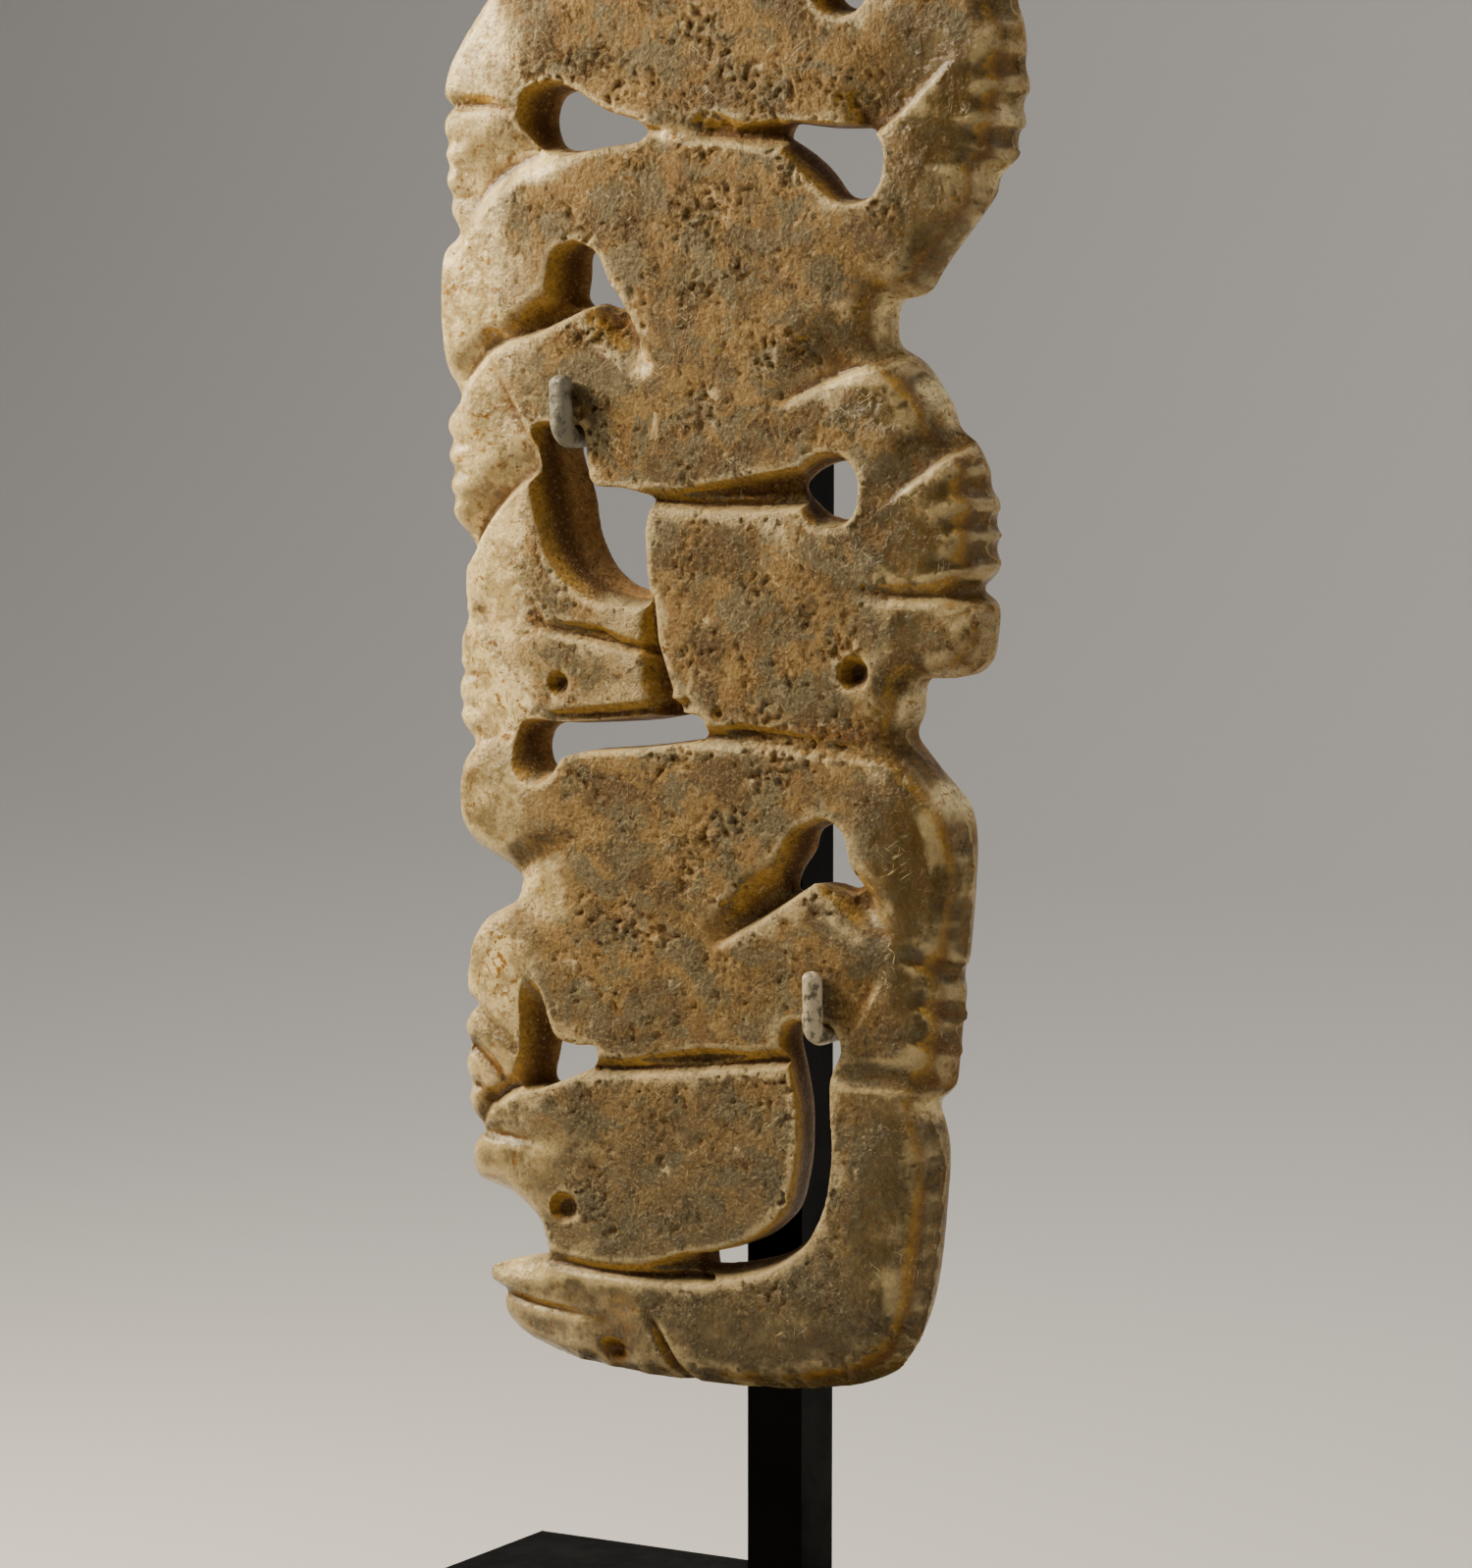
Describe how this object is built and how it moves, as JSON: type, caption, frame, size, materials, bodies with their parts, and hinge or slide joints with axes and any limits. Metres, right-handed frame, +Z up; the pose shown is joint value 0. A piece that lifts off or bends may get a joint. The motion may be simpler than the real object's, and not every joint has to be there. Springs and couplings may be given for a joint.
{
  "type": "jade animal pendant on a plain display stand",
  "caption": "Flat carved stone pendant pierced with linked crouching animal figures, hung by bent metal hooks from a square post on a plain block base",
  "frame": {"origin": "middle of the underside of the base block", "axes": "+Z up along the post and the pendant's height, +X along the base block's length and the pendant's width, carved face towards -Y"},
  "size_m": [0.105, 0.07, 0.2006],
  "materials": {
    "carved_jade": "worn polish, mottled grey-green and brown with rust spots and small pits",
    "base_paint": "satin black paint",
    "post_paint": "satin black paint",
    "upper_hook_paint": "brushed grey-green paint, matt",
    "lower_hook_paint": "brushed cream paint, matt"
  },
  "bodies": {
    "root": {"pendant": "carved_jade", "base_block": "base_paint", "post": "post_paint", "upper_hook": "upper_hook_paint", "lower_hook": "lower_hook_paint"}
  },
  "joints": []
}
